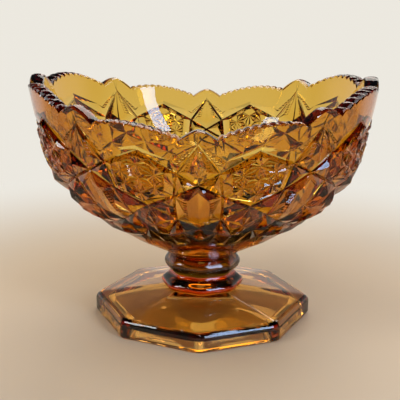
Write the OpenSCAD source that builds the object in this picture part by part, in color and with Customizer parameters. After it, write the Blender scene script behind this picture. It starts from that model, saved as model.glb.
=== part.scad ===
// Footed compote bowl in pressed amber glass, in three fused pieces that stand on each other:
// an octagonal foot with a dished underside, a bulging knop, and an oval bowl with a scalloped
// rim whose two ends rise. Millimetres, Z up, X along the bowl, origin under the foot's centre.

/* [Bowl] */
// Length of the bowl over its two raised ends
bowl_len = 232; // [190:1:270]
// Width of the bowl from front to back
bowl_wid = 207; // [175:1:245]
// Height of the rim's points above the table, before the ends rise and the sides drop
rim_h = 157.6; // [135:0.1:185]
// How far the ends rise above that height, and the sides drop below it
end_rise = 10.2; // [0:0.1:16]
// Thickness of the wall at the rim
wall = 8.5; // [6.5:0.1:10]
// Thickness of the glass over the knop
floor_t = 7.5; // [5:0.1:10]

/* [Rim] */
// Height of each point of the rim above the notches beside it
point_h = 6.9; // [3:0.1:9]
// Height of each arch of the rim above the notches beside it
arch_h = 5.6; // [3:0.1:8]
// Height of the small scallops along an arch
scallop_h = 1.2; // [0.3:0.1:1.5]
// Number of small scallops along an arch
scallops = 10; // [8:1:12]
// How far the rim's crest stands above its two edges
crest_h = 1.3; // [0.6:0.1:2]

/* [Pattern] */
// Depth of the pressed pattern, from its pads to its deepest grooves
relief = 3.6; // [2:0.1:4.2]

/* [Knop] */
// Radius of the knop at its corners
knop_r = 26.6; // [24:0.1:32]
// Thickness of the knop, from the neck to the bowl
knop_t = 12.7; // [10:0.1:16]
// Radius at the corners of the joint between the knop and the bowl
joint_r = 22.3; // [19:0.1:23.5]

/* [Foot] */
// Length of the foot from corner to corner, along the bowl
foot_len = 152; // [130:1:180]
// Width of the foot from corner to corner, front to back
foot_wid = 145; // [125:1:175]
// Height of the foot's outer edge
foot_edge_h = 13.5; // [12:0.1:17]
// Height at which the foot's slopes meet the stem
foot_top_h = 20.6; // [18:0.1:22]
// Radius at the corners where the foot's slopes meet the stem
stem_r = 25; // [23:0.1:28]
// Height of the lower ring of the stem
ring_h = 24.6; // [23:0.1:27]
// Radius of the lower ring of the stem at its corners
ring_r = 28.7; // [28.2:0.1:34]
// Height of the neck above the table, where the knop stands on the foot
neck_h = 32.1; // [29:0.1:40]
// Radius of the neck at its corners
neck_r = 22.5; // [19:0.1:23.5]
// Height of the dished hollow under the foot
hollow_h = 10.5; // [7:0.1:12]
// Width of the flat rim that the foot stands on, at its corners
rest_w = 9; // [7:0.1:14]
// Size of the rounding along the foot's upper edge
edge_round = 4.5; // [2:0.1:5.5]

/* [Hidden] */
amber = [0.80, 0.50, 0.13];
dark_amber = [0.55, 0.28, 0.07];

// The pattern repeats in eight columns. A column has two halves, one the mirror of the other.
columns = 8;
sector = 360 / columns;
half_sector = sector / 2;
// Each facet of the pattern is cut into this many steps along an edge, to follow the curved wall
facet_steps = 2;
// Steps round the inside of the bowl in one column, which match those of the pattern's top edge
wall_steps = 16;
// Steps round the joint in one column, whose two halves each have two edges of the pattern there
joint_steps = 4 * facet_steps;
// Steps of the rim for each step of the wall, in one column, and from a rim point to its notch
rim_fan = 3;
rim_steps = wall_steps * rim_fan;
point_steps = 4;

// The bowl stands on the knop, and its curve has height share 0 there and 1 at the rim's points
joint_h = neck_h + knop_t;
curve_h = rim_h - joint_h;
swell_power = 3;
swell_softness = 1.35;
slope_step_share = 0.01;
// How much longer than wide the bowl is, as a share of its width, at its rim and low down
rim_stretch_share = bowl_len / bowl_wid - 1;
low_stretch_share = 0.4;
stretch_fall_power = 2.3;
// The part of that length which the ends gain above a height share, where they lean outwards
flare_share = 0.057;
flare_start_share = 0.7;
// Powers of the cosine that spread the stretch round the plan, at the rim and low down
rim_stretch_power = 1.5;
low_stretch_power = 9;
// Below this height share the bowl becomes round again, to meet the knop
round_share = 0.1;
// The ends rise above this height share only
rise_start_share = 0.123;
rise_power = 1.83;
// The columns beside the front one and the back one stand this many degrees nearer to them
column_drift = 3.5;

// Half width of a rim point, as a share of half a column
point_share = 0.31;
// Powers that shape a point and an arch of the rim
point_power = 1.5;
arch_power = 0.8;
// The plain collar under the rim, where the pattern starts
collar_share = 0.925;
notch_share = 1 - point_h / curve_h;
// Radius of the inner floor, as a share of the joint's radius
floor_share = 0.8;
// How far the floor dips at its centre, as a share of its thickness
floor_dip_share = 0.2;

// Points of the pattern in half a column: share of the half column's angle, share of the
// bowl's height, and share of the relief, outwards. The first ones are the collar's lower edge.
collar_points = 5;
pattern_shares = [
    // lower edge of the plain collar under the rim (0 to 4)
    [0, collar_share, -0.14],
    [0.25, collar_share, -0.11],
    [0.5, collar_share, -0.08],
    [0.75, collar_share, -0.12],
    [1, collar_share, -0.14],
    // spearhead's tip (5), and the bevel over the hexagon: upper edge (6, 7) and the groove under it (8, 9)
    [0, 0.906, -0.19],
    [0.45, 0.81, -0.28],
    [1, 0.872, -0.28],
    [0.367, 0.724, -0.67],
    [1, 0.84, -0.61],
    // spearhead's spine (10) and flank (11), and the star's centre (12)
    [0, 0.725, 0.33],
    [0.16, 0.75, 0.19],
    [0, 0.647, -0.61],
    // pad beside the star (13), lower shoulder (14) and the pad under the star's arm (15)
    [0.27, 0.668, 0.25],
    [0.431, 0.572, -0.61],
    [0.165, 0.575, 0.28],
    // long panel: head (16), sides (17, 18), end (19) and foot (20)
    [0, 0.612, -0.11],
    [0.2, 0.555, 0.19],
    [0.2, 0.42, 0.22],
    [0, 0.392, 0.08],
    [0, 0.32, -0.56],
    // foot of the hexagon (21), crossings (22, 23) and foot of the lattice (24)
    [1, 0.482, -0.61],
    [0.486, 0.387, -0.67],
    [0.491, 0.274, -0.5],
    [1, 0.235, -0.44],
    // pads of the lattice (25 to 28)
    [0.62, 0.49, 0.33],
    [0.33, 0.335, 0.25],
    [0.6, 0.31, 0.25],
    [0.21, 0.287, 0.22],
    // lowest row of facets (29 to 34)
    [0, 0.275, -0.33],
    [0, 0.2, -0.33],
    [0.5, 0.175, -0.22],
    [0.3, 0.21, 0.14],
    [0.76, 0.2, 0.14],
    [1, 0.15, -0.17],
    // plain base (35 to 38) and the joint with the knop (39 to 41)
    [0, 0.09, 0],
    [0.25, 0.1, 0],
    [0.75, 0.09, 0],
    [1, 0.08, 0],
    [0, 0, 0],
    [0.5, 0, 0],
    [1, 0, 0],
    // field of the hexagon: corners (42 to 45), centre (46) and its rosettes (47 to 50)
    [1, 0.815, 0.08],
    [0.54, 0.733, 0.08],
    [0.58, 0.61, 0.08],
    [1, 0.535, 0.08],
    [1, 0.676, 0.08],
    [1, 0.765, 0.22],
    [0.715, 0.712, 0.22],
    [0.74, 0.637, 0.22],
    [1, 0.588, 0.22],
    // centre of the lattice's diamond (51)
    [1, 0.36, 0.25],
];

// Facets of the pattern, anticlockwise as seen from outside in the first half of a column
pattern_facets = [
    [5, 1, 0], [5, 6, 1], [6, 2, 1], [6, 3, 2], [6, 7, 3], [7, 4, 3],
    [6, 8, 9], [6, 9, 7], [5, 8, 6],
    [5, 11, 8], [5, 10, 11], [10, 12, 11], [11, 12, 8],
    [8, 12, 13], [12, 14, 13], [14, 8, 13], [12, 15, 14],
    [12, 16, 15], [16, 17, 15], [16, 19, 17], [19, 18, 17], [19, 20, 18],
    [15, 17, 14], [17, 18, 22], [17, 22, 14], [18, 20, 22],
    [14, 22, 25], [22, 21, 25], [21, 14, 25],
    [22, 24, 51], [22, 51, 21],
    [22, 20, 26], [20, 23, 26], [23, 22, 26],
    [22, 23, 27], [23, 24, 27], [24, 22, 27],
    [20, 28, 23], [20, 29, 28], [29, 30, 28], [30, 23, 28],
    [30, 32, 23], [30, 31, 32], [32, 31, 23],
    [23, 31, 33], [23, 33, 24], [24, 33, 34], [31, 34, 33],
    [30, 35, 36], [30, 36, 31], [36, 37, 31], [31, 37, 34], [34, 37, 38],
    [35, 39, 36], [36, 39, 40], [36, 40, 37], [37, 40, 41], [37, 41, 38],
    [9, 8, 43], [9, 43, 42], [8, 14, 44], [8, 44, 43], [14, 21, 45], [14, 45, 44],
    [42, 43, 48], [42, 48, 47], [47, 48, 46], [46, 48, 49], [50, 46, 49], [45, 50, 49],
    [43, 49, 48], [43, 44, 49], [44, 45, 49],
];

// Rows of the inside, downwards, as shares of its height
inner_row_shares = [0.92, 0.82, 0.7, 0.57, 0.44, 0.32, 0.21, 0.12, 0.05, 0];

// Sides of the foot and the knop, and where a side has an edge, from one corner to the next
sides = 8;
side_angle = 360 / sides;
side_shares = [0, 0.06, 0.25, 0.5, 0.75, 0.94];
side_steps = len(side_shares);
ring_steps = sides * side_steps;
// How far the flat sides stand out over those of an octagon with sharp corners, as a share
corner_round_share = 0.0078;
// How far the sides bulge towards a circle, on the foot's flat base and on the stem
base_soft_share = 0;
stem_soft_share = 0.35;
// Power of the cosine that lengthens the foot at its two end corners alone
end_power = 6;
// Steps of the knop's bulge and of the stem's curves
bulge_steps = 8;
bulge_power = 0.8;
// The hollow's side wall and its flat centre, as shares of its height and of the foot's radius
hollow_side_share = 0.4;
hollow_centre_share = 0.2;
// Bevel of the rim that the foot stands on
base_bevel = edge_round / 3;
foot_r = foot_wid / 2;

function blend(a, b, s) = a + (b - a) * s;
function ramp(h) = 1 - pow(1 - min(1, h / round_share), 2);
function lift(h) = max(0, (h - rise_start_share) / (1 - rise_start_share));
function swell(h) = pow(1 - pow(1 - min(1, h), swell_power), swell_softness);

// How much wider the plan is at angle t, from 0 along the bowl, than at its sides
function stretch_share(h) =
    let (upper = rim_stretch_share - flare_share)
    upper + (low_stretch_share - upper) * pow(1 - min(1, h), stretch_fall_power) +
    flare_share * max(0, (h - flare_start_share) / (1 - flare_start_share));
function stretch(t, h) =
    1 + stretch_share(h) * ramp(h) * pow(abs(cos(t)), blend(low_stretch_power, rim_stretch_power, h));
function drift(t, h) = t + column_drift * ramp(h) * sin(2 * t);
function saddle(t, h) = end_rise * pow(lift(h), rise_power) * cos(2 * t);

// A point of the wall at angle t, where the radius at the sides is r and the plain height is z
function wall_point(t, h, r, z) =
    let (turned = drift(t, h), reach = r * stretch(t, h))
    [reach * cos(turned), reach * sin(turned), z + saddle(t, h)];

function outer_radius(h) = blend(joint_r, bowl_wid / 2, swell(h));
function outer_slope(h) =
    let (low = max(0, h - slope_step_share), high = min(1, h + slope_step_share))
    (outer_radius(high) - outer_radius(low)) / ((high - low) * curve_h);
// A point of the outside, with relief d outwards along the wall's normal
function outer_point(t, h, d) =
    let (slope = outer_slope(h), tilt = norm([1, slope]))
    wall_point(t, h, outer_radius(h) + d / tilt, blend(joint_h, rim_h, h) - d * slope / tilt);

// The inside rises from a small floor above the knop
function inner_point(t, h) =
    let (r = blend(joint_r * floor_share, bowl_wid / 2 - wall, swell(h)))
    wall_point(t, h, r, blend(joint_h + floor_t, rim_h, h));

// How far round the half column the rim's step i lies, from 0 at a point to 1 between two points
function rim_offset(i) =
    let (half = rim_steps / 2, n = abs((i + half) % rim_steps - half))
    n < point_steps
        ? point_share * n / point_steps
        : blend(point_share, 1, (n - point_steps) / (half - point_steps));
function rim_angle(i) =
    let (column = round(i / rim_steps))
    column * sector + sign(i - column * rim_steps) * half_sector * rim_offset(i);
// The rim's height share there
function rim_share(offset) =
    let (
        along = 90 * (offset - point_share) / (1 - point_share),
        rise = offset < point_share
            ? point_h * (1 - pow(offset / point_share, point_power))
            : arch_h * pow(sin(along), arch_power) + scallop_h * abs(sin(scallops * along))
    )
    notch_share + rise / curve_h;

// A ring of the rim: how far in from the outside it lies, and how far below the crest
function rim_ring(inset, drop) = [
    for (i = [0 : columns * rim_steps - 1])
        let (t = rim_angle(i), h = rim_share(rim_offset(i)))
        wall_point(t, h, outer_radius(h) - inset, blend(joint_h, rim_h, h) - drop)
];
function wall_angle(i) = i * sector / wall_steps;
// How deep the collar's lower edge lies at step i, as a share of the relief
function collar_depth(i) =
    let (half = wall_steps / 2, share = abs((i + half) % wall_steps - half) / half)
    lookup(share, [for (p = [0 : collar_points - 1]) [pattern_shares[p][0], pattern_shares[p][2]]]);

// Faces between two rings of n points, of which the second follows the first on the way up
// the outside, over the rim and down the inside
function band(n, first, second) = [
    for (i = [0 : n - 1])
        let (j = (i + 1) % n)
        each [[first + i, second + i, second + j], [first + i, second + j, first + j]]
];
// The same between a ring of n points and a ring of k times as many, with k odd
function fan_out(n, k, first, second) = [
    for (i = [0 : n - 1])
        let (j = (i + 1) % n, mid = (k - 1) / 2)
        each concat(
            [[first + i, second + i * k + mid, first + j]],
            [
                for (m = [0 : k - 1])
                    [m < mid ? first + i : first + j, second + i * k + m, second + (i * k + m + 1) % (n * k)]
            ]
        )
];
function fan_in(n, k, first, second) = [
    for (i = [0 : n - 1])
        let (j = (i + 1) % n, mid = (k - 1) / 2)
        each concat(
            [[first + i * k + mid, second + i, second + j]],
            [
                for (m = [0 : k - 1])
                    [first + i * k + m, m < mid ? second + i : second + j, first + (i * k + m + 1) % (n * k)]
            ]
        )
];

// The corners of a facet cut into steps, row by row from its first corner
function facet_shares(f, n) =
    let (a = pattern_shares[f[0]], b = pattern_shares[f[1]], c = pattern_shares[f[2]])
    [for (i = [0 : n]) for (j = [0 : i]) (a * (n - i) + b * (i - j) + c * j) / n];
function facet_count(n) = (n + 1) * (n + 2) / 2;
function row_start(i) = i * (i + 1) / 2;
function facet_faces(n, start, mirrored) = [
    for (i = [0 : n - 1])
        for (j = [0 : i])
            each [
                for (f = concat(
                    [[row_start(i) + j, row_start(i + 1) + j, row_start(i + 1) + j + 1]],
                    j < i ? [[row_start(i) + j, row_start(i + 1) + j + 1, row_start(i) + j + 1]] : []
                ))
                    mirrored
                        ? [start + f[0], start + f[1], start + f[2]]
                        : [start + f[0], start + f[2], start + f[1]]
            ]
];

module bowl() {
    wall_n = columns * wall_steps;
    rim_n = wall_n * rim_fan;
    rows = len(inner_row_shares);
    collar = [for (i = [0 : wall_n - 1]) outer_point(wall_angle(i), collar_share, relief * collar_depth(i))];
    inside = [for (h = inner_row_shares) for (i = [0 : wall_n - 1]) inner_point(wall_angle(i), h)];
    floor_centre = [0, 0, joint_h + floor_t * (1 - floor_dip_share)];
    joint_n = columns * joint_steps;
    joint = [for (i = [0 : joint_n - 1]) outer_point(i * sector / joint_steps, 0, 0)];
    pattern = [
        for (k = [0 : columns - 1]) for (side = [1, -1]) for (f = pattern_facets)
            for (p = facet_shares(f, facet_steps))
                outer_point((k * sector + side * half_sector * p[0] + 360) % 360, p[1], relief * p[2])
    ];
    shell = concat(
        collar,
        rim_ring(0, crest_h),
        rim_ring(wall / 2, 0),
        rim_ring(wall, crest_h),
        inside,
        [floor_centre],
        joint,
        pattern
    );
    rim_at = wall_n;
    inside_at = rim_at + 3 * rim_n;
    centre_at = inside_at + rows * wall_n;
    joint_at = centre_at + 1;
    pattern_at = joint_at + joint_n;
    last_row_at = centre_at - wall_n;
    per_half = len(pattern_facets);
    faces = concat(
        fan_out(wall_n, rim_fan, 0, rim_at),
        band(rim_n, rim_at, rim_at + rim_n),
        band(rim_n, rim_at + rim_n, rim_at + 2 * rim_n),
        fan_in(wall_n, rim_fan, rim_at + 2 * rim_n, inside_at),
        [for (r = [0 : rows - 2]) each band(wall_n, inside_at + r * wall_n, inside_at + (r + 1) * wall_n)],
        [for (i = [0 : wall_n - 1]) [last_row_at + i, centre_at, last_row_at + (i + 1) % wall_n]],
        [[for (i = [0 : joint_n - 1]) joint_at + i]],
        [
            for (half = [0 : 2 * columns - 1]) for (f = [0 : per_half - 1])
                each facet_faces(
                    facet_steps,
                    pattern_at + (half * per_half + f) * facet_count(facet_steps),
                    half % 2 == 1
                )
        ]
    );
    color(amber) polyhedron(points = shell, faces = faces);
}

// A solid with eight sides, from a list of sections [height, corner radius, rounding share]
module octagonal(sections) {
    function longer(r, a) =
        1 + (foot_len / foot_wid - 1) * min(1, max(0, (r - ring_r) / (foot_r - ring_r))) *
        pow(abs(cos(a)), end_power);
    function side_radius(share) =
        share == 0
            ? 1
            : (1 + corner_round_share) * cos(side_angle / 2) / cos(side_angle * (share - 1 / 2));
    points = [
        for (s = sections) for (k = [0 : sides - 1]) for (share = side_shares)
            let (a = side_angle * (k + share), r = s[1] * blend(side_radius(share), 1, s[2]))
            [r * longer(s[1], a) * cos(a), r * sin(a), s[0]]
    ];
    last = len(sections) - 1;
    polyhedron(
        points = points,
        faces = concat(
            [for (s = [0 : last - 1]) each band(ring_steps, s * ring_steps, (s + 1) * ring_steps)],
            [[for (i = [0 : ring_steps - 1]) i]],
            [[for (i = [ring_steps - 1 : -1 : 0]) last * ring_steps + i]]
        )
    );
}

module knop() {
    color(dark_amber) octagonal([
        for (i = [0 : bulge_steps])
            let (u = i / bulge_steps, plain = blend(neck_r, joint_r, u))
            [
                blend(neck_h, joint_h, u),
                plain + (knop_r - plain) * pow(sin(180 * u), bulge_power),
                stem_soft_share
            ]
    ]);
}

module foot() {
    hollow_r = foot_r - rest_w;
    hollow_side_h = hollow_h * hollow_side_share;
    hollow = [
        [hollow_h, foot_r * hollow_centre_share, stem_soft_share],
        [hollow_side_h, hollow_r - hollow_side_h, base_soft_share],
        [base_bevel, hollow_r - base_bevel, base_soft_share],
        [0, hollow_r, base_soft_share]
    ];
    edge = [
        [0, foot_r - base_bevel, base_soft_share],
        [base_bevel, foot_r, base_soft_share],
        for (i = [0 : 3])
            let (a = 90 * i / 3)
            [
                foot_edge_h - edge_round * (1 - sin(a)),
                foot_r - edge_round * (1 - cos(a)),
                base_soft_share
            ]
    ];
    ring = [
        for (i = [0 : 3])
            let (a = 90 * i / 3)
            [
                blend(foot_top_h, ring_h, 1 - cos(a)),
                blend(stem_r, ring_r, sin(a)),
                stem_soft_share
            ]
    ];
    neck = [
        for (i = [1 : bulge_steps])
            let (u = i / bulge_steps)
            [
                blend(ring_h, neck_h, u),
                blend(neck_r, ring_r, (1 + cos(180 * u)) / 2),
                stem_soft_share
            ]
    ];
    color(dark_amber) octagonal(concat(hollow, edge, ring, neck));
}

bowl();
knop();
foot();
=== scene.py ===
# Footed compote bowl in amber pressed glass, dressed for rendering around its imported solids.
# The bowl, the knop and the foot are remade at the same sizes as the solids, with the whole pressed
# pattern: V-shaped grooves between raised pads, spearheads with ladders of notches, hexagons with
# rosettes, and a lattice.

import math

import bmesh
import bpy
from mathutils import Matrix, Vector
from mathutils.geometry import delaunay_2d_cdt


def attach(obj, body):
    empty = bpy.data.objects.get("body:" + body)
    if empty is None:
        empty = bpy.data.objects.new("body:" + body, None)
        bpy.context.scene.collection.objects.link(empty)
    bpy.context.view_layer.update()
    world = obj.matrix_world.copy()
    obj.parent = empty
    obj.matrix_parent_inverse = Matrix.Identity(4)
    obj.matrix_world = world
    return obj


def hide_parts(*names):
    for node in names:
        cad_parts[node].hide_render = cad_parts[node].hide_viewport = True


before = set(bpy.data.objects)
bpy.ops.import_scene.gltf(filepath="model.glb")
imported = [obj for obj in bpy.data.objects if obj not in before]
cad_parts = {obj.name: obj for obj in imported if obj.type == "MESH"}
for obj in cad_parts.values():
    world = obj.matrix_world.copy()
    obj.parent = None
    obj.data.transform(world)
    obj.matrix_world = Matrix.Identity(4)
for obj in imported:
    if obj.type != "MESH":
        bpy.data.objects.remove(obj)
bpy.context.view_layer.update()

MM = 0.001

# Driving sizes of the solids, in millimetres, as in the part's source
BOWL_LEN = 232
BOWL_WID = 207
RIM_H = 157.6
END_RISE = 10.2
WALL = 8.5
FLOOR_T = 7.5
POINT_H = 6.9
ARCH_H = 5.6
SCALLOP_H = 1.2
SCALLOPS = 10
CREST_H = 1.3
KNOP_R = 26.6
KNOP_T = 12.7
JOINT_R = 22.3
FOOT_LEN = 152
FOOT_WID = 145
FOOT_EDGE_H = 13.5
FOOT_TOP_H = 20.6
STEM_R = 25
RING_H = 24.6
RING_R = 28.7
NECK_H = 32.1
NECK_R = 22.5
HOLLOW_H = 10.5
REST_W = 9
EDGE_ROUND = 4.5

# The fused pieces run this far into each other, so that no air shows between them
FUSE = 0.15

# Shape of the bowl's wall
COLUMNS = 8
SECTOR = 360 / COLUMNS
HALF_SECTOR = SECTOR / 2
JOINT_H = NECK_H + KNOP_T
CURVE_H = RIM_H - JOINT_H
SWELL_POWER = 3
SWELL_SOFTNESS = 1.35
RIM_STRETCH = BOWL_LEN / BOWL_WID - 1
FLARE_SHARE = 0.057
FLARE_START_SHARE = 0.7
LOW_STRETCH = 0.4
STRETCH_FALL_POWER = 2.3
RIM_STRETCH_POWER = 1.5
LOW_STRETCH_POWER = 9
ROUND_SHARE = 0.1
RISE_START_SHARE = 0.123
RISE_POWER = 1.83
COLUMN_DRIFT = 3.5
POINT_SHARE = 0.31
POINT_POWER = 1.5
ARCH_POWER = 0.8
NOTCH_SHARE = 1 - POINT_H / CURVE_H
FLOOR_SHARE = 0.8
FLOOR_DIP_SHARE = 0.2

# Half of the step in height over which the wall's slope is measured, as a share
SLOPE_STEP_SHARE = 0.01

# Size of half a column of the pattern laid flat, used to space its details
FLAT_W = 37
FLAT_H = 113

# Tolerances in the flat pattern: a place beside its edge, a place on its foot line, the area below
# which a triangle is left out, and the digits to which places and angles are told apart
SAME_PLACE = 0.001
ON_LINE = 1e-6
NO_AREA = 1e-9
PLACE_DIGITS = 3
ANGLE_DIGITS = 6


def blend(a, b, share):
    return a + (b - a) * share


def cosine(degrees):
    return math.cos(math.radians(degrees))


def sine(degrees):
    return math.sin(math.radians(degrees))


# The wall of the bowl. Angles t are in degrees, and h is a share of the wall's height


def ramp(h):
    """How far the plan has gone from round to oval."""
    return 1 - (1 - min(1, h / ROUND_SHARE)) ** 2


def swell(h):
    """How far the wall has swelled out, from 0 at the joint to 1 at the rim."""
    return (1 - (1 - min(1, h)) ** SWELL_POWER) ** SWELL_SOFTNESS


def stretch(t, h):
    """How much wider the plan is at angle t, from 0 along the bowl, than at its sides."""
    upper = RIM_STRETCH - FLARE_SHARE
    flare = FLARE_SHARE * max(0, (h - FLARE_START_SHARE) / (1 - FLARE_START_SHARE))
    gain = upper + (LOW_STRETCH - upper) * (1 - min(1, h)) ** STRETCH_FALL_POWER + flare
    power = blend(LOW_STRETCH_POWER, RIM_STRETCH_POWER, h)
    return 1 + gain * ramp(h) * abs(cosine(t)) ** power


def wall_point(t, h, radius, z):
    """A place of the wall, in metres, from its radius and height before the oval and the rise."""
    lift = max(0, (h - RISE_START_SHARE) / (1 - RISE_START_SHARE))
    saddle = END_RISE * lift**RISE_POWER * cosine(2 * t)
    turned = t + COLUMN_DRIFT * ramp(h) * sine(2 * t)
    reach = radius * stretch(t, h)
    return Vector((reach * cosine(turned), reach * sine(turned), z + saddle)) * MM


def outer_radius(h):
    return blend(JOINT_R, BOWL_WID / 2, swell(h))


def outer_slope(h):
    """How much the outside widens for each millimetre of height."""
    low, high = max(0, h - SLOPE_STEP_SHARE), min(1, h + SLOPE_STEP_SHARE)
    return (outer_radius(high) - outer_radius(low)) / ((high - low) * CURVE_H)


def outer_point(t, h, relief=0):
    """A place of the outside, moved out of the wall by the relief."""
    slope = outer_slope(h)
    tilt = math.hypot(1, slope)
    radius = outer_radius(h) + relief / tilt
    return wall_point(t, h, radius, blend(JOINT_H, RIM_H, h) - relief * slope / tilt)


def inner_point(t, h):
    radius = blend(JOINT_R * FLOOR_SHARE, BOWL_WID / 2 - WALL, swell(h))
    return wall_point(t, h, radius, blend(JOINT_H + FLOOR_T, RIM_H, h))


def rim_share(offset):
    """Height of the rim at a share of the half column: first the point, then the scalloped arch."""
    if offset < POINT_SHARE:
        rise = POINT_H * (1 - (offset / POINT_SHARE) ** POINT_POWER)
    else:
        along = 90 * (offset - POINT_SHARE) / (1 - POINT_SHARE)
        rise = ARCH_H * sine(along) ** ARCH_POWER + SCALLOP_H * abs(sine(SCALLOPS * along))
    return NOTCH_SHARE + rise / CURVE_H


# The pattern, drawn flat on half a column: x from the column's middle, y upwards, and the relief,
# all in millimetres

# How the net is cut into triangles, and how near its points are merged
WITHIN_OUTLINE = 1
MERGE = 1e-4


class Net:
    """Points with a relief, and the lines that join them."""

    def __init__(self):
        self.points = []
        self.relief = []
        self.lines = set()
        self.at = {}

    def point(self, x, y, relief):
        key = (round(x, PLACE_DIGITS), round(y, PLACE_DIGITS))
        if key not in self.at:
            self.at[key] = len(self.points)
            self.points.append((x, y))
            self.relief.append(relief)
        return self.at[key]

    def line(self, *indices):
        for a, b in zip(indices, indices[1:]):
            if a != b:
                self.lines.add((min(a, b), max(a, b)))

    def triangles(self, relief_at=None):
        """Cuts the net into triangles: lists of points, reliefs and triples of indices."""
        places = [Vector(p) for p in self.points]
        result = delaunay_2d_cdt(places, sorted(self.lines), [], WITHIN_OUTLINE, MERGE)
        places, faces, sources = result[0], result[2], result[3]
        relief = []
        for place, source in zip(places, sources):
            if source:
                relief.append(self.relief[source[0]])
            else:
                relief.append(relief_at(place.x, place.y) if relief_at else 0)
        return [tuple(p) for p in places], relief, [tuple(f) for f in faces]


def flat(share, height_share):
    return (share * FLAT_W, height_share * FLAT_H)


# Sharp grooves run along the lines between the facets: half their width, and their depth
GROOVE_W = 0.9
GROOVE_DEPTH = 0.6

# Main points of the pattern: share of the half column, share of the height, and relief, which is
# below zero in the grooves and above it on the pads between them
APEX = (*flat(0, 0.906), -0.7)
BAND_CORNER = (*flat(0.45, 0.81), -0.4)
BAND_TOP = (*flat(1, 0.872), -0.4)
SHOULDER = (*flat(0.367, 0.724), -2.4)
CROWN = (*flat(1, 0.84), -2.2)
SPINE_TOP = (*flat(0.008, 0.882), -0.2)
SPINE_SIDE = (*flat(0.036, 0.72), 1.0)
SPINE_CREST = (*flat(0, 0.725), 1.6)
LADDER_FOOT = (*flat(0.16, 0.75), 1.2)
STAR = (*flat(0, 0.647), -2.2)
SIDE_PEAK = (*flat(0.27, 0.668), 0.9)
LOW_SHOULDER = (*flat(0.431, 0.572), -2.2)
PAD_FOOT = (*flat(0.165, 0.575), 1.5)
PANEL_HEAD = (*flat(0, 0.612), -0.4)
PANEL_CORNER = (*flat(0.2, 0.555), 0.7)
PANEL_SIDE = (*flat(0.2, 0.42), 0.8)
PANEL_END = (*flat(0, 0.392), 0.3)
PANEL_FOOT = (*flat(0, 0.32), -2.0)
HEXAGON_FOOT = (*flat(1, 0.482), -2.2)
CROSSING = (*flat(0.486, 0.387), -2.4)
LOW_CROSSING = (*flat(0.491, 0.274), -1.8)
LATTICE_FOOT = (*flat(1, 0.235), -1.6)
FAN_PEAK = (*flat(0.21, 0.287), 0.8)
FAN_TOP = (*flat(0, 0.275), -1.2)
FAN_FOOT = (*flat(0, 0.2), -1.2)
LOW_POINT = (*flat(0.5, 0.175), -0.8)
LOW_PEAK = (*flat(0.3, 0.21), 0.5)
LOW_GAP = (*flat(0.76, 0.2), 0.5)
LOW_MIDDLE = (*flat(1, 0.15), -0.6)
BASE_LEFT = (*flat(0, 0.09), 0)
BASE_NEAR = (*flat(0.25, 0.1), 0)
BASE_FAR = (*flat(0.75, 0.09), 0)
BASE_RIGHT = (*flat(1, 0.08), 0)
HIGH_PAD = (*flat(0.62, 0.49), 1.2)
SIDE_PAD = (*flat(0.33, 0.335), 0.9)
LOW_PAD = (*flat(0.6, 0.31), 0.9)

# Relief of the hexagon's field of rosettes, and the inner corners of its border, from its top down
FIELD = 0.3
FIELD_CORNERS = [flat(1, 0.815), flat(0.54, 0.733), flat(0.58, 0.61), flat(1, 0.535)]
HEXAGON_Y = (FIELD_CORNERS[0][1] + FIELD_CORNERS[3][1]) / 2

# Steps of the rim in half a column, and those of them in the point
RIM_STEPS = 50
POINT_STEPS = 10
# Places along the line where the pattern meets the knop
FOOT_LINE_SHARES = (0, 0.25, 0.5, 0.75, 1)


def rim_offset(i):
    """How far round the half column the rim's step i lies."""
    if i < POINT_STEPS:
        return POINT_SHARE * i / POINT_STEPS
    return blend(POINT_SHARE, 1, (i - POINT_STEPS) / (RIM_STEPS - POINT_STEPS))


def add(net, *places):
    return [net.point(*p) for p in places]


def draw(net, *places):
    net.line(*add(net, *places))


def pyramid(net, corners, peak):
    """A raised facet with a peak in it."""
    ring = add(net, *corners)
    net.line(*ring, ring[0])
    top = net.point(*peak)
    for i in ring:
        net.line(i, top)


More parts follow.
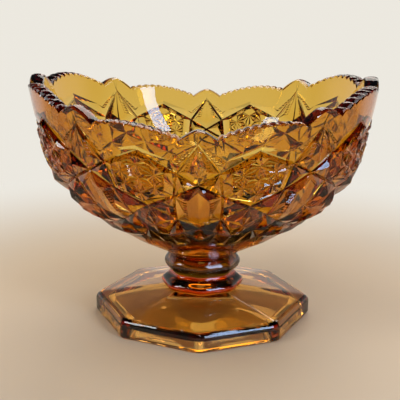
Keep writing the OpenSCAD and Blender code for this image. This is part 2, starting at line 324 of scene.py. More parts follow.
def main_net():
    """The pattern's large facets in half a column."""
    net = Net()

    # Outline, with the rim's curve along the top
    rim = []
    for i in range(RIM_STEPS + 1):
        offset = rim_offset(i)
        rim.append(net.point(*flat(offset, rim_share(offset) - CREST_H / CURVE_H), 0))
    net.line(*rim)
    foot = add(net, *((*flat(share, 0), 0) for share in FOOT_LINE_SHARES))
    net.line(*foot)
    left = add(net, BASE_LEFT, FAN_FOOT, FAN_TOP, PANEL_FOOT, PANEL_END, PANEL_HEAD, STAR)
    net.line(foot[0], *left, *add(net, SPINE_CREST, APEX), rim[0])
    right = add(net, BASE_RIGHT, LOW_MIDDLE, LATTICE_FOOT, HEXAGON_FOOT)
    net.line(foot[-1], *right)

    # Bevel over the hexagon, and the outer facet of the spearhead
    draw(net, APEX, BAND_CORNER, BAND_TOP)
    draw(net, BAND_CORNER, SHOULDER, CROWN, BAND_TOP)
    net.line(*add(net, BAND_TOP), rim[-1])
    draw(net, APEX, SHOULDER)

    # Spearhead: a slope down to the ladder, the lens up to the spine, and the facet under them
    draw(net, APEX, LADDER_FOOT, SHOULDER)
    draw(net, LADDER_FOOT, STAR, SHOULDER)
    draw(net, APEX, SPINE_TOP, SPINE_SIDE, STAR)
    draw(net, SPINE_TOP, LADDER_FOOT, SPINE_SIDE)

    # Star: the pad beside it, the one under that and the long panel
    pyramid(net, [SHOULDER, STAR, LOW_SHOULDER], SIDE_PEAK)
    draw(net, STAR, PAD_FOOT, LOW_SHOULDER)
    draw(net, PAD_FOOT, PANEL_CORNER, PANEL_SIDE, PANEL_FOOT)
    draw(net, STAR, PANEL_HEAD, PANEL_CORNER)
    draw(net, PANEL_HEAD, PAD_FOOT)
    draw(net, PANEL_SIDE, PANEL_END)
    draw(net, PANEL_SIDE, CROSSING, LOW_SHOULDER, PANEL_CORNER)
    draw(net, CROSSING, PANEL_FOOT)

    # Pads between the grooves of the lattice
    pyramid(net, [LOW_SHOULDER, HEXAGON_FOOT, CROSSING], HIGH_PAD)
    pyramid(net, [CROSSING, PANEL_FOOT, LOW_CROSSING], SIDE_PAD)
    pyramid(net, [CROSSING, LOW_CROSSING, LATTICE_FOOT], LOW_PAD)
    draw(net, CROSSING, HEXAGON_FOOT)

    # Foot of the pattern
    draw(net, PANEL_FOOT, FAN_PEAK, LOW_CROSSING)
    draw(net, FAN_TOP, FAN_PEAK, FAN_FOOT, LOW_CROSSING)
    draw(net, FAN_FOOT, LOW_PEAK, LOW_CROSSING)
    draw(net, FAN_FOOT, LOW_POINT, LOW_CROSSING)
    draw(net, LOW_PEAK, LOW_POINT)
    draw(net, LOW_CROSSING, LOW_GAP, LATTICE_FOOT)
    draw(net, LOW_POINT, LOW_GAP, LOW_MIDDLE)
    draw(net, LOW_POINT, LOW_MIDDLE)
    draw(net, FAN_FOOT, BASE_NEAR, LOW_POINT, BASE_FAR, LOW_MIDDLE)
    draw(net, BASE_LEFT, BASE_NEAR, BASE_FAR, BASE_RIGHT)

    # Hexagon: a smooth sloping border and the field of rosettes
    whole = [CROWN, SHOULDER, LOW_SHOULDER, HEXAGON_FOOT]
    field = [(x, y, FIELD) for x, y in FIELD_CORNERS]
    rings = [add(net, *ring) for ring in (whole, field)]
    for ring in rings:
        net.line(*ring)
    for corner in range(4):
        net.line(*(ring[corner] for ring in rings))
    centre = net.point(FLAT_W, HEXAGON_Y, FIELD)
    net.line(rings[-1][0], centre, rings[-1][3])
    return net


class Relief:
    """The relief of a net's triangles at any place."""

    def __init__(self, places, relief, faces):
        self.triangles = [[(*places[i], relief[i]) for i in f] for f in faces]

    def __call__(self, x, y):
        best, found = None, 0
        for a, b, c in self.triangles:
            area = (b[0] - a[0]) * (c[1] - a[1]) - (c[0] - a[0]) * (b[1] - a[1])
            if abs(area) < NO_AREA:
                continue
            u = ((x - a[0]) * (c[1] - a[1]) - (c[0] - a[0]) * (y - a[1])) / area
            v = ((b[0] - a[0]) * (y - a[1]) - (x - a[0]) * (b[1] - a[1])) / area
            inside = min(u, v, 1 - u - v)
            if best is None or inside > best:
                best, found = inside, a[2] * (1 - u - v) + b[2] * u + c[2] * v
                if inside >= 0:
                    break
        return found


# Lines of the pattern that have a groove
GROOVES = [
    (APEX, SHOULDER),
    (SHOULDER, CROWN),
    (SHOULDER, STAR),
    (SHOULDER, LOW_SHOULDER),
    (STAR, LOW_SHOULDER),
    (LOW_SHOULDER, HEXAGON_FOOT),
    (LOW_SHOULDER, CROSSING),
    (HEXAGON_FOOT, CROSSING),
    (CROSSING, PANEL_FOOT),
    (CROSSING, LOW_CROSSING),
    (CROSSING, LATTICE_FOOT),
    (PANEL_FOOT, LOW_CROSSING),
    (LOW_CROSSING, LATTICE_FOOT),
    (LOW_CROSSING, FAN_FOOT),
]


def groove_distance(x, y):
    """How far a place is from the nearest groove, GROOVE_W at most."""
    nearest = GROOVE_W
    for first, last in GROOVES:
        ax, ay, bx, by = first[0], first[1], last[0], last[1]
        along_x, along_y = bx - ax, by - ay
        share = ((x - ax) * along_x + (y - ay) * along_y) / (along_x**2 + along_y**2)
        share = min(1, max(0, share))
        nearest = min(nearest, math.hypot(x - ax - along_x * share, y - ay - along_y * share))
    return nearest


def cut_grooves(net, relief_at):
    """The two edges of each groove, run on a little so that they meet those of the next one."""
    for first, last in GROOVES:
        along = Vector((last[0] - first[0], last[1] - first[1]))
        step = along.normalized()
        side = Vector((-step.y, step.x)) * GROOVE_W
        for turn in (1, -1):
            start = Vector(first[:2]) + side * turn - step * GROOVE_W
            end = Vector(last[:2]) + side * turn + step * GROOVE_W
            start, end = clipped(start, end), clipped(end, start)
            ends = [net.point(p.x, p.y, relief_at(p.x, p.y)) for p in (start, end)]
            net.line(*ends)


def clipped(p, towards):
    """The place p, moved along its line to the edge of the half column if it is outside."""
    edge = min(FLAT_W, max(0, p.x))
    if edge == p.x:
        return p
    share = (edge - p.x) / (towards.x - p.x)
    return Vector((edge, p.y + (towards.y - p.y) * share))


# Rosettes of the hexagon's field: rays, radius, how far they stand from the hexagon's middle towards
# its corners, and how far the hub, crests and valleys stand out
RAYS = 24
ROSETTE_R = 5.6
ROSETTE_SHARE = 0.62
HUB = 0.25
CREST = 0.45
VALLEY = -0.65

# The small star in the middle of the hexagon
HEART_RAYS = 12
HEART_R = 3.2

# The star in the middle of the lattice
LATTICE_RAYS = 14
LATTICE_R = 7.5
LATTICE_HUB = 0.6

# Ladders: how many bars, their first and last width, their height, the first and last depth, and how
# far they stand beside the line that they follow
SPEAR_BARS = (8, (0.9, 2.8), 1.2, (-0.5, -0.9), 0.7)
OUTER_BARS = (5, (0.8, 1.8), 0.9, (-0.6, -0.6), 0)
PANEL_BARS = (8, (2.4, 2.8), 1.2, (-0.9, -0.9), 1.5)

# Where each ladder starts and ends along its line
MIDWAY = 0.5
SPEAR_BAR_SHARES = (0.2, 0.95)
OUTER_BAR_SHARES = (0.35, 0.85)
PANEL_BAR_SHARES = (0.08, 0.95)


def between(first, last, share):
    """The place at a share of the way from one place to another."""
    return tuple(blend(first[i], last[i], share) for i in (0, 1))


def notch(net, ground, cx, cy, width, height, depth):
    """A bar across the pattern, with a sharp valley or ridge along its middle."""
    ends = [net.point(x, cy, ground(x, cy) + depth) for x in (cx - width / 2, cx + width / 2)]
    sides = []
    for y in (cy - height / 2, cy + height / 2):
        side = [net.point(x, y, ground(x, y)) for x in (cx - width / 2, cx + width / 2)]
        net.line(*side)
        sides.append(side)
    net.line(*ends)
    for end in range(2):
        net.line(sides[0][end], ends[end], sides[1][end])


def ladder(net, ground, first, last, shares, bars):
    """Bars that follow each other along the line between two places."""
    start, end = (between(first, last, share) for share in shares)
    count, widths, height, depths, shift = bars
    for i in range(count):
        share = i / (count - 1)
        cx = blend(start[0], end[0], share) + shift
        cy = blend(start[1], end[1], share)
        notch(net, ground, cx, cy, blend(*widths, share), height, blend(*depths, share))


def rosette(net, cx, cy, radius, rays, hub):
    """Rays round a hub, whose tips are crests and valleys in turn. Only those in the half column."""
    middle = net.point(cx, cy, FIELD + hub)
    ring = []
    for k in range(rays):
        angle = 360 * k / rays
        x = cx + radius * sine(angle)
        y = cy + radius * cosine(angle)
        if x > FLAT_W + SAME_PLACE:
            ring.append(None)
            continue
        tip = net.point(min(x, FLAT_W), y, FIELD + (VALLEY if k % 2 else CREST))
        net.line(middle, tip)
        ring.append(tip)
    for a, b in zip(ring, ring[1:] + ring[:1]):
        if a is not None and b is not None:
            net.line(a, b)


def detailed_net(coarse):
    """The same net with its grooves, ladders and rosettes, and the relief of its plain ground."""
    places, relief, faces = coarse
    plain_ground = Relief(places, relief, faces)

    def ground(x, y):
        return plain_ground(x, y) - GROOVE_DEPTH * (1 - groove_distance(x, y) / GROOVE_W)

    net = Net()
    for place in places:
        net.point(*place, ground(*place))
    # No line runs inwards from the hexagon's middle, where the small star stands
    centre = net.at[(round(FLAT_W, PLACE_DIGITS), round(HEXAGON_Y, PLACE_DIGITS))]
    for f in faces:
        for a, b in zip(f, f[1:] + f[:1]):
            inner = min(places[a][0], places[b][0]) < FLAT_W - SAME_PLACE
            if centre not in (a, b) or not inner:
                net.line(a, b)

    cut_grooves(net, ground)

    # Bars down each side of the spearhead, marks on its outer facet, and bars beside the long panel
    outer = between(BAND_CORNER, SHOULDER, MIDWAY)
    ladder(net, ground, APEX, LADDER_FOOT, SPEAR_BAR_SHARES, SPEAR_BARS)
    ladder(net, ground, APEX, outer, OUTER_BAR_SHARES, OUTER_BARS)
    ladder(net, ground, PANEL_CORNER, PANEL_SIDE, PANEL_BAR_SHARES, PANEL_BARS)

    # Rosettes of the hexagon, with a small star in the middle of it
    for corner in FIELD_CORNERS:
        x = blend(FLAT_W, corner[0], ROSETTE_SHARE)
        y = blend(HEXAGON_Y, corner[1], ROSETTE_SHARE)
        rosette(net, x, y, ROSETTE_R, RAYS, HUB)
    rosette(net, FLAT_W, HEXAGON_Y, HEART_R, HEART_RAYS, HUB)

    # Rays of the lattice's diamond
    lattice_y = blend(HEXAGON_FOOT[1], LATTICE_FOOT[1], MIDWAY)
    rosette(net, FLAT_W, lattice_y, LATTICE_R, LATTICE_RAYS, LATTICE_HUB)
    return net, ground


def refined(places, relief, faces, longest):
    """Splits every edge longer than the limit until none is left. An edge's halves stay straight."""
    points = [(*p, r) for p, r in zip(places, relief)]
    limit = longest * longest
    while True:
        middle = {}

        def split(a, b):
            key = (min(a, b), max(a, b))
            if key not in middle:
                pa, pb = points[key[0]], points[key[1]]
                if wall_scale(pa, pb) <= limit:
                    middle[key] = None
                else:
                    middle[key] = len(points)
                    points.append(tuple((u + v) / 2 for u, v in zip(pa, pb)))
            return middle[key]

        cut = []
        for a, b, c in faces:
            ab, bc, ca = split(a, b), split(b, c), split(c, a)
            found = [m for m in (ab, bc, ca) if m is not None]
            if len(found) == 3:
                cut += [(a, ab, ca), (ab, b, bc), (ca, bc, c), (ab, bc, ca)]
            elif len(found) == 2:
                while ca is not None:
                    a, b, c, ab, bc, ca = b, c, a, bc, ca, ab
                cut += [(ab, b, bc), (a, ab, bc), (a, bc, c)]
            elif len(found) == 1:
                while ab is None:
                    a, b, c, ab, bc, ca = b, c, a, bc, ca, ab
                cut += [(a, ab, c), (ab, b, c)]
            else:
                cut.append((a, b, c))
        if len(cut) == len(faces):
            return points, faces
        faces = cut


def angle_after(ring, i):
    """The angle of the place after place i, which goes on past a whole turn."""
    return ring[i + 1][0] if i + 1 < len(ring) else ring[0][0] + 360


def zipped(first, second):
    """Triangles between two rings of (angle, index), both going the same way round."""
    faces = []
    i = j = 0
    while i < len(first) or j < len(second):
        a, b = first[i % len(first)][1], second[j % len(second)][1]
        first_is_next = j >= len(second) or angle_after(first, i) <= angle_after(second, j)
        if i < len(first) and first_is_next:
            faces.append((a, first[(i + 1) % len(first)][1], b))
            i += 1
        else:
            faces.append((a, second[(j + 1) % len(second)][1], b))
            j += 1
    return faces


# Points nearer than this, in metres, become one
WELD = 2e-6


class Shell:
    """Points and faces of a piece. Rings are added one after another and joined by bands."""

    def __init__(self):
        self.points = []
        self.faces = []

    def ring(self, places):
        start = len(self.points)
        self.points += places
        return list(range(start, len(self.points)))

    def band(self, first, second):
        """Faces that look outwards when the second ring follows the first upwards outside."""
        count = len(first)
        for i in range(count):
            j = (i + 1) % count
            self.faces.append((first[i], first[j], second[j], second[i]))

    def bands(self, rings):
        for first, second in zip(rings, rings[1:]):
            self.band(first, second)

    def fan(self, ring, centre, upwards):
        """Closes a ring with faces that meet in its centre."""
        middle = self.ring([centre])[0]
        count = len(ring)
        for i in range(count):
            j = (i + 1) % count
            first, second = (i, j) if upwards else (j, i)
            self.faces.append((ring[first], ring[second], middle))

    def piece(self, name, sharp_angle):
        """The finished mesh as an object, smooth but for its sharp edges."""
        mesh = bpy.data.meshes.new(name)
        mesh.from_pydata(self.points, [], self.faces)
        work = bmesh.new()
        work.from_mesh(mesh)
        bmesh.ops.remove_doubles(work, verts=work.verts, dist=WELD)
        work.to_mesh(mesh)
        work.free()
        mesh.shade_smooth()
        mesh.set_sharp_from_angle(angle=math.radians(sharp_angle))
        made = bpy.data.objects.new(name, mesh)
        bpy.context.scene.collection.objects.link(made)
        return made


# The bowl's mesh: steps round the inside in a column, rows of faces on the inside, the share of the
# height where they start and how they gather towards the floor, and rows on the crest and the floor
INNER_STEPS = 32
INNER_ROWS = 30
INNER_TOP_SHARE = 0.9
INNER_POWER = 1.6
CREST_ROWS = 6
FLOOR_RINGS = 4
# The longest edge of the pattern's faces, in millimetres, and the angle from which an edge is sharp
LONGEST_EDGE = 2.6
SHARP_ANGLE = 9
# Share of the joint's radius that the fused faces have, inside the octagon of the knop
JOIN_SHARE = 0.92


def wall_scale(p, q):
    """Squared length of an edge of the flat pattern once it lies on the wall."""
    h = (p[1] + q[1]) / 2 / FLAT_H
    around = outer_radius(h) * math.radians(HALF_SECTOR) / FLAT_W
    return ((p[0] - q[0]) * around) ** 2 + ((p[1] - q[1]) * math.hypot(1, outer_slope(h))) ** 2


def add_outside(shell):
    """The patterned outside, column by column. Returns the pattern's flat points."""
    fine, ground = detailed_net(main_net().triangles())
    points, faces = refined(*fine.triangles(ground), LONGEST_EDGE)
    for column in range(COLUMNS):
        for side in (1, -1):
            start = len(shell.points)
            for x, y, relief in points:
                t = (column * SECTOR + side * HALF_SECTOR * x / FLAT_W) % 360
                shell.points.append(outer_point(t, y / FLAT_H, relief))
            for f in faces:
                a, b, c = (start + i for i in f)
                shell.faces.append((a, b, c) if side == 1 else (a, c, b))
    return points


def add_crest(shell):
    """The rounded top of the rim. Returns its inner edge as pairs of angle and index."""
    steps = []
    for column in range(COLUMNS):
        for i in range(-RIM_STEPS, RIM_STEPS):
            offset = rim_offset(abs(i))
            t = column * SECTOR + math.copysign(HALF_SECTOR, i) * offset
            steps.append((t, rim_share(offset)))
    rows = []
    for row in range(CREST_ROWS + 1):
        turn = 180 * row / CREST_ROWS
        inward = WALL * (1 - cosine(turn)) / 2
        drop = CREST_H * (1 - sine(turn)) / CURVE_H
        ring = []
        for t, h in steps:
            low = h - drop
            ring.append(wall_point(t, low, outer_radius(low) - inward, blend(JOINT_H, RIM_H, low)))
        rows.append(shell.ring(ring))
    shell.bands(rows)
    return [(t, i) for (t, h), i in zip(steps, rows[-1])]


def add_inside(shell, rim_ring):
    """The smooth inside, from the rim's inner edge down, and the dished floor."""
    count = COLUMNS * INNER_STEPS
    angles = [-HALF_SECTOR + 360 * i / count for i in range(count)]
    rows = []
    for row in range(INNER_ROWS + 1):
        h = INNER_TOP_SHARE * (1 - row / INNER_ROWS) ** INNER_POWER
        rows.append(shell.ring([inner_point(t, h) for t in angles]))
    shell.faces += zipped(rim_ring, list(zip(angles, rows[0])))
    for k in range(1, FLOOR_RINGS):
        share = 1 - k / FLOOR_RINGS
        dip = FLOOR_T * FLOOR_DIP_SHARE * (1 - share * share) * MM
        edge = [inner_point(t, 0) for t in angles]
        rows.append(shell.ring([Vector((p.x * share, p.y * share, p.z - dip)) for p in edge]))
    shell.bands(rows)
    shell.fan(rows[-1], Vector((0, 0, JOINT_H + FLOOR_T * (1 - FLOOR_DIP_SHARE))) * MM, True)


def add_underside(shell, points):
    """The face under the bowl, which runs a little into the knop."""
    bottom = sorted({round(x / FLAT_W, ANGLE_DIGITS) for x, y, r in points if y < ON_LINE})
    angles = sorted(
        {
            round((column * SECTOR + side * HALF_SECTOR * share) % 360, ANGLE_DIGITS)
            for column in range(COLUMNS)
            for side in (1, -1)
            for share in bottom
        }
    )
    rings = [shell.ring([outer_point(t, 0) for t in angles])]
    radius = JOINT_R * JOIN_SHARE
    for z in (JOINT_H, JOINT_H - FUSE):
        ring = [Vector((radius * cosine(t), radius * sine(t), z)) * MM for t in angles]
        rings.append(shell.ring(ring))
    for first, second in zip(rings, rings[1:]):
        shell.band(second, first)
    shell.fan(rings[-1], Vector((0, 0, JOINT_H - FUSE)) * MM, False)


def make_bowl():
    shell = Shell()
    points = add_outside(shell)
    add_inside(shell, add_crest(shell))
    add_underside(shell, points)
    return shell.piece("bowl_glass", SHARP_ANGLE)


# The foot and the knop are octagons, whose corners stand under the columns of the pattern
CORNERS = 8


def octagon_radius(t, sharpness):
    """Radius at angle t of an octagon whose corners have radius 1, rounded by a lower sharpness."""
    total = 0
    for k in range(CORNERS):
        facing = cosine(t - HALF_SECTOR - k * SECTOR)
        if facing > 0:
            total += (facing / cosine(HALF_SECTOR)) ** sharpness
    return (2 / total) ** (1 / sharpness)


# Degrees from a corner at which the octagon has its points
CORNER_STEPS = [0, 0.35, 0.8, 1.5, 2.6, 4.5, 8, 13, 18]
OCTAGON_SHARP_ANGLE = 12
# Power of the cosine that lengthens the foot at its two end corners alone
END_POWER = 6


def octagonal(name, sections):
    """A solid through sections of height, corner radius and sharpness of the corners."""
    turns = []
    for k in range(CORNERS):
        turns += [k * SECTOR + s for s in CORNER_STEPS] + [k * SECTOR + HALF_SECTOR]
        turns += [(k + 1) * SECTOR - s for s in reversed(CORNER_STEPS[1:])]
    shell = Shell()
    rings = []
    for z, corner, sharpness in sections:
        share = min(1, max(0, (corner - RING_R) / (FOOT_WID / 2 - RING_R)))
        ring = []
        for t in turns:
            r = corner * octagon_radius(t, sharpness)
            longer = 1 + (FOOT_LEN / FOOT_WID - 1) * share * abs(cosine(t)) ** END_POWER
            ring.append(Vector((r * longer * cosine(t), r * sine(t), z)) * MM)
        rings.append(shell.ring(ring))
    shell.bands(rings)
    shell.fan(rings[0], Vector((0, 0, sections[0][0])) * MM, False)
    shell.fan(rings[-1], Vector((0, 0, sections[-1][0])) * MM, True)
    return shell.piece(name, OCTAGON_SHARP_ANGLE)


# Sharpness of the octagon's corners, from the base up to the stem, and at the hollow's wall
BASE_SHARPNESS = 90
SLOPE_SHARPNESS = 60
STEM_SHARPNESS = 22
HOLLOW_SHARPNESS = 26

# The knop's bulge: its steps, and the power of the sine, which is fuller the lower it is
KNOP_STEPS = 20
KNOP_POWER = 0.8

# The foot: its lowest bevel as a share of the upper rounding, how near the bevel's middle comes to
# the corner, the steps of its parts, and the height of the hollow's side as a share of the hollow
BEVEL_SHARE = 1 / 3
INNER_BEVEL_SHARE = 0.3
EDGE_STEPS = 6
SLOPE_STEPS = 6
RING_STEPS = 8
NECK_STEPS = 14
HOLLOW_SIDE_SHARE = 0.4
# The hollow's dish: share of its rise, share of the foot's radius, and sharpness
DISH_SHARES = [(1, 0.2, 4), (0.9, 0.34, 4), (0.7, 0.5, 6), (0.4, 0.67, 10)]


def make_knop():
    join_r = NECK_R * JOIN_SHARE
    sections = [(NECK_H - FUSE, join_r, STEM_SHARPNESS), (NECK_H, join_r, STEM_SHARPNESS)]
    for i in range(KNOP_STEPS + 1):
        u = i / KNOP_STEPS
        straight = blend(NECK_R, JOINT_R, u)
        r = straight + (KNOP_R - straight) * max(0, sine(180 * u)) ** KNOP_POWER
        sections.append((blend(NECK_H, JOINT_H, u), r, STEM_SHARPNESS))
    return octagonal("knop_glass", sections)


def base_sections():
    """The hollow from its top down, the resting face and the lowest bevel."""
    foot_r = FOOT_WID / 2
    bevel = EDGE_ROUND * BEVEL_SHARE
    hollow_r = foot_r - REST_W
    side_h = HOLLOW_H * HOLLOW_SIDE_SHARE
    sections = [(blend(side_h, HOLLOW_H, h), foot_r * r, sharpness) for h, r, sharpness in DISH_SHARES]
    sections.append((side_h, hollow_r - side_h, HOLLOW_SHARPNESS))
    inner_bevel = bevel * INNER_BEVEL_SHARE
    outline = [
        (bevel, hollow_r - bevel),
        (0, hollow_r),
        (0, foot_r - bevel),
        (inner_bevel, foot_r - inner_bevel),
        (bevel, foot_r),
    ]
    return sections + [(z, r, BASE_SHARPNESS) for z, r in outline]


def make_foot():
    sections = base_sections()
    foot_r = FOOT_WID / 2
    # The rounded upper edge and the sloping top
    for i in range(EDGE_STEPS + 1):
        a = 90 * i / EDGE_STEPS
        z = FOOT_EDGE_H - EDGE_ROUND * (1 - sine(a))
        sections.append((z, foot_r - EDGE_ROUND * (1 - cosine(a)), BASE_SHARPNESS))
    for i in range(1, SLOPE_STEPS):
        u = i / SLOPE_STEPS
        r = blend(foot_r - EDGE_ROUND, STEM_R, u)
        sharpness = blend(BASE_SHARPNESS, SLOPE_SHARPNESS, u)
        sections.append((blend(FOOT_EDGE_H, FOOT_TOP_H, u), r, sharpness))
    # The stem's ring, and the neck above it
    for i in range(RING_STEPS + 1):
        a = 90 * i / RING_STEPS
        z = blend(FOOT_TOP_H, RING_H, 1 - cosine(a))
        sections.append((z, blend(STEM_R, RING_R, sine(a)), STEM_SHARPNESS))
    for i in range(1, NECK_STEPS + 1):
        u = i / NECK_STEPS
        r = blend(NECK_R, RING_R, (1 + cosine(180 * u)) / 2)
        sections.append((blend(RING_H, NECK_H, u), r, STEM_SHARPNESS))
    return octagonal("foot_glass", sections)


# Materials

# The glass's skin: a faint wave in its height, and a haze that changes from place to place
GLASS_IOR = 1.52
GLASS_TINT = (1, 0.97, 0.9)
WAVE_SCALE = 90
WAVE_DETAIL = 2
WAVE_STRENGTH = 0.06
WAVE_HEIGHT = 0.0006
HAZE_SCALE = 40
HAZE_DETAIL = 4
HAZE_ROUGHNESS = 0.05


def noise(nodes, links, scale, detail):
    """A noise that stays on the piece."""
    place = nodes.new("ShaderNodeTexCoord")
    made = nodes.new("ShaderNodeTexNoise")
    made.inputs["Scale"].default_value = scale
    made.inputs["Detail"].default_value = detail
    links.new(place.outputs["Object"], made.inputs["Vector"])
    return made.outputs["Fac"]


def glass(name, absorb, density):
    """Pressed glass: clear, tinted through its thickness, with a fire-polished, faintly wavy skin."""
    material = bpy.data.materials.new(name)
    material.use_nodes = True
    nodes, links = material.node_tree.nodes, material.node_tree.links
    shader = nodes["Principled BSDF"]
    shader.inputs["Base Color"].default_value = (*GLASS_TINT, 1)
    shader.inputs["IOR"].default_value = GLASS_IOR
    shader.inputs["Transmission Weight"].default_value = 1
    bump = nodes.new("ShaderNodeBump")
    bump.inputs["Strength"].default_value = WAVE_STRENGTH
    bump.inputs["Distance"].default_value = WAVE_HEIGHT
    links.new(noise(nodes, links, WAVE_SCALE, WAVE_DETAIL), bump.inputs["Height"])
    links.new(bump.outputs["Normal"], shader.inputs["Normal"])
    polish = nodes.new("ShaderNodeMapRange")
    polish.inputs["To Min"].default_value = 0
    polish.inputs["To Max"].default_value = HAZE_ROUGHNESS
    links.new(noise(nodes, links, HAZE_SCALE, HAZE_DETAIL), polish.inputs["Value"])
    links.new(polish.outputs["Result"], shader.inputs["Roughness"])
    volume = nodes.new("ShaderNodeVolumeAbsorption")
    volume.inputs["Color"].default_value = (*absorb, 1)
    volume.inputs["Density"].default_value = density
    links.new(volume.outputs["Volume"], nodes["Material Output"].inputs["Volume"])
    return material


def dress(piece, material, node):
    """Gives a piece its glass, and puts it in the place of a solid."""
    piece.data.materials.append(material)
    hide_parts(node)
    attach(piece, "root")


# Absorption of each piece's glass: its colour, and its density in a metre
BOWL_ABSORB = (0.91, 0.735, 0.035)
BOWL_DENSITY = 262
KNOP_ABSORB = (0.85, 0.8, 0.5)
KNOP_DENSITY = 340
FOOT_ABSORB = (0.96, 0.72, 0.2)
FOOT_DENSITY = 105
dress(make_bowl(), glass("amber_bowl", BOWL_ABSORB, BOWL_DENSITY), "bowl")
dress(make_knop(), glass("amber_knop", KNOP_ABSORB, KNOP_DENSITY), "knop")
dress(make_foot(), glass("amber_foot", FOOT_ABSORB, FOOT_DENSITY), "foot")


# Stage, light and camera

# The floor fades into the backdrop at some distance from the bowl: all round as the camera sees it,
# and only behind the bowl as gloss and glass show it
BACKDROP = (0.84, 0.81, 0.74)
FLOOR_COLOUR = (0.72, 0.54, 0.36)
FLOOR_ROUGHNESS = 0.6
FLOOR_SPAN = 8
FLOOR_DROP = 0.0002
FADE_START = 0.14
FADE_END = 0.45
BEHIND_START = 0.16
BEHIND_END = 0.36


def soft_range(nodes, links, value, start, end):
    """A node that goes softly from 0 at the start to 1 at the end."""
    made = nodes.new("ShaderNodeMapRange")
    made.interpolation_type = "SMOOTHSTEP"
    made.inputs["From Min"].default_value = start
    made.inputs["From Max"].default_value = end
    links.new(value, made.inputs["Value"])
    return made


def worked_out(nodes, links, operation, first, second):
    """Two values put together by an operation."""
    made = nodes.new("ShaderNodeMath")
    made.operation = operation
    links.new(first, made.inputs[0])
    links.new(second, made.inputs[1])
    return made.outputs["Value"]


def mixed(nodes, links, share, first, second):
    made = nodes.new("ShaderNodeMixShader")
    links.new(share, made.inputs["Fac"])
    links.new(first, made.inputs[1])
    links.new(second, made.inputs[2])
    return made.outputs["Shader"]


def seen_rays(nodes, links):
    """1 for the rays that show the backdrop: from the camera, by reflection or through glass."""
    path = nodes.new("ShaderNodeLightPath")
    total = path.outputs["Is Camera Ray"]
    for kind in ("Is Glossy Ray", "Is Transmission Ray"):
        total = worked_out(nodes, links, "MAXIMUM", total, path.outputs[kind])
    return total


def faded_floor(name):
    """A pale paint that fades, far from the bowl, into the backdrop's colour."""
    material = bpy.data.materials.new(name)
    material.use_nodes = True
    nodes, links = material.node_tree.nodes, material.node_tree.links
    paint = nodes["Principled BSDF"]
    paint.inputs["Base Color"].default_value = (*FLOOR_COLOUR, 1)
    paint.inputs["Roughness"].default_value = FLOOR_ROUGHNESS
    place = nodes.new("ShaderNodeTexCoord")
    reach = nodes.new("ShaderNodeVectorMath")
    reach.operation = "LENGTH"
    links.new(place.outputs["Object"], reach.inputs[0])
    parts = nodes.new("ShaderNodeSeparateXYZ")
    links.new(place.outputs["Object"], parts.inputs["Vector"])
    far = soft_range(nodes, links, reach.outputs["Value"], FADE_START, FADE_END)
    behind = soft_range(nodes, links, parts.outputs["Y"], BEHIND_START, BEHIND_END)
    shown = seen_rays(nodes, links)
    in_glass = worked_out(nodes, links, "MULTIPLY", behind.outputs["Result"], shown)
    path = nodes.new("ShaderNodeLightPath")
    seen = worked_out(nodes, links, "MAXIMUM", path.outputs["Is Camera Ray"], in_glass)
    fade = worked_out(nodes, links, "MULTIPLY", far.outputs["Result"], seen)
    glow = nodes.new("ShaderNodeEmission")
    glow.inputs["Color"].default_value = (*BACKDROP, 1)
    surface = mixed(nodes, links, fade, paint.outputs["BSDF"], glow.outputs["Emission"])
    links.new(surface, nodes["Material Output"].inputs["Surface"])
    return material


def make_floor():
    mesh = bpy.data.meshes.new("floor")
    half = FLOOR_SPAN / 2
    corners = [(-half, -half, 0), (half, -half, 0), (half, half, 0), (-half, half, 0)]
    mesh.from_pydata(corners, [], [(0, 1, 2, 3)])
    mesh.materials.append(faded_floor("floor_paint"))
    made = bpy.data.objects.new("floor", mesh)
    made.location = (0, 0, -FLOOR_DROP)
    bpy.context.scene.collection.objects.link(made)


make_floor()

# The world: pale near the horizon, darker overhead, and in gloss and glass darker in front too.
# A stop is the height of the direction looked in, and an edge is how far back it points
HORIZON_STOP = 0.15
OVERHEAD_STOP = 0.5
OVERHEAD = (0.05, 0.05, 0.06)
FRONT_EDGE = 0
BACK_EDGE = 0.46
FRONT_SHADE = 0.12


def make_world():
    world = bpy.data.worlds.new("studio")
    bpy.context.scene.world = world
    world.use_nodes = True
    nodes, links = world.node_tree.nodes, world.node_tree.links
    direction = nodes.new("ShaderNodeTexCoord")
    parts = nodes.new("ShaderNodeSeparateXYZ")
    links.new(direction.outputs["Generated"], parts.inputs["Vector"])
    shade = nodes.new("ShaderNodeValToRGB")
    low, high = shade.color_ramp.elements
    low.position = HORIZON_STOP
    low.color = (*BACKDROP, 1)
    high.position = OVERHEAD_STOP
    high.color = (*OVERHEAD, 1)
    links.new(parts.outputs["Z"], shade.inputs["Fac"])
    sky = nodes["Background"]
    links.new(shade.outputs["Color"], sky.inputs["Color"])
    front = soft_range(nodes, links, parts.outputs["Y"], FRONT_EDGE, BACK_EDGE)
    front.inputs["To Min"].default_value = FRONT_SHADE
    front.inputs["To Max"].default_value = 1
    room = nodes.new("ShaderNodeBackground")
    links.new(shade.outputs["Color"], room.inputs["Color"])
    links.new(front.outputs["Result"], room.inputs["Strength"])
    shown = seen_rays(nodes, links)
    around = mixed(nodes, links, shown, sky.outputs["Background"], room.outputs["Background"])
    # What the camera sees directly is the pale backdrop
    backdrop = nodes.new("ShaderNodeBackground")
    backdrop.inputs["Color"].default_value = (*BACKDROP, 1)
    path = nodes.new("ShaderNodeLightPath")
    seen = path.outputs["Is Camera Ray"]
    surface = mixed(nodes, links, seen, around, backdrop.outputs["Background"])
    links.new(surface, nodes["World Output"].inputs["Surface"])


make_world()

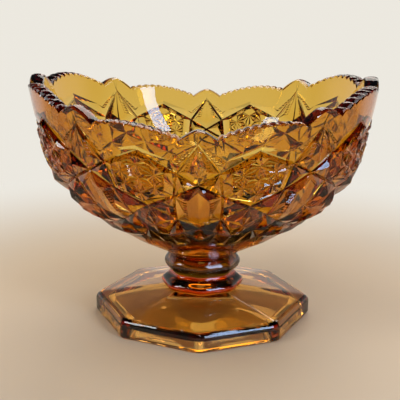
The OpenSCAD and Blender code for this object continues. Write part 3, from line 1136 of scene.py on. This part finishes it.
# Lamps: name, place, width and height, power in watts and colour. The tall window stands where the
# photograph's reflections point
LAMPS = [
    ("window", (1.17, -1.2, 0.84), (0.34, 1), 14, (0.5, 0.68, 1)),
    ("high_window", (0.3, -0.83, 1.11), (0.14, 0.2), 1.2, (0.8, 0.88, 1)),
    ("top", (-0.1, -0.3, 2), (1.2, 1.2), 12, (0.95, 0.97, 1)),
    ("side_window", (-1.1, -0.6, 0.9), (0.3, 0.6), 6, (0.85, 0.93, 1)),
    ("back", (0.3, 1.3, 1.5), (1.4, 1), 16, (1, 0.95, 0.86)),
]
LAMP_AIM = Vector((0, 0, 0.1))


def panel(name, place, size, power, colour):
    """A rectangular lamp, turned towards the bowl."""
    data = bpy.data.lights.new(name, "AREA")
    data.energy = power
    data.color = colour
    data.shape = "RECTANGLE"
    data.size, data.size_y = size
    made = bpy.data.objects.new(name, data)
    made.location = place
    made.rotation_euler = (LAMP_AIM - Vector(place)).to_track_quat("-Z", "Y").to_euler()
    bpy.context.scene.collection.objects.link(made)


for lamp in LAMPS:
    panel(*lamp)

# The photograph's camera, fitted to the foot's corners, the outline and the pattern
CAMERA_REACH = 0.5476
CAMERA_TILT = 14.469
CAMERA_TURN = 1.713
CAMERA_ROLL = 0.356
CAMERA_LENS = 71
CAMERA_SENSOR = 36
CAMERA_AIM = Vector((-0.0014, 0, 0.0816))
CAMERA_SHIFT = -0.0017


def make_camera():
    data = bpy.data.cameras.new("camera")
    data.lens = CAMERA_LENS
    data.sensor_width = CAMERA_SENSOR
    data.shift_x = CAMERA_SHIFT
    camera = bpy.data.objects.new("camera", data)
    level = cosine(CAMERA_TILT)
    away = Vector((sine(CAMERA_TURN) * level, -cosine(CAMERA_TURN) * level, sine(CAMERA_TILT)))
    facing = (-away).to_track_quat("-Z", "Y")
    roll = Matrix.Rotation(math.radians(CAMERA_ROLL), 3, "Z").to_quaternion()
    camera.location = CAMERA_AIM + away * CAMERA_REACH
    camera.rotation_mode = "QUATERNION"
    camera.rotation_quaternion = facing @ roll
    bpy.context.scene.collection.objects.link(camera)
    bpy.context.scene.camera = camera


make_camera()
bpy.context.scene.view_settings.view_transform = "Standard"
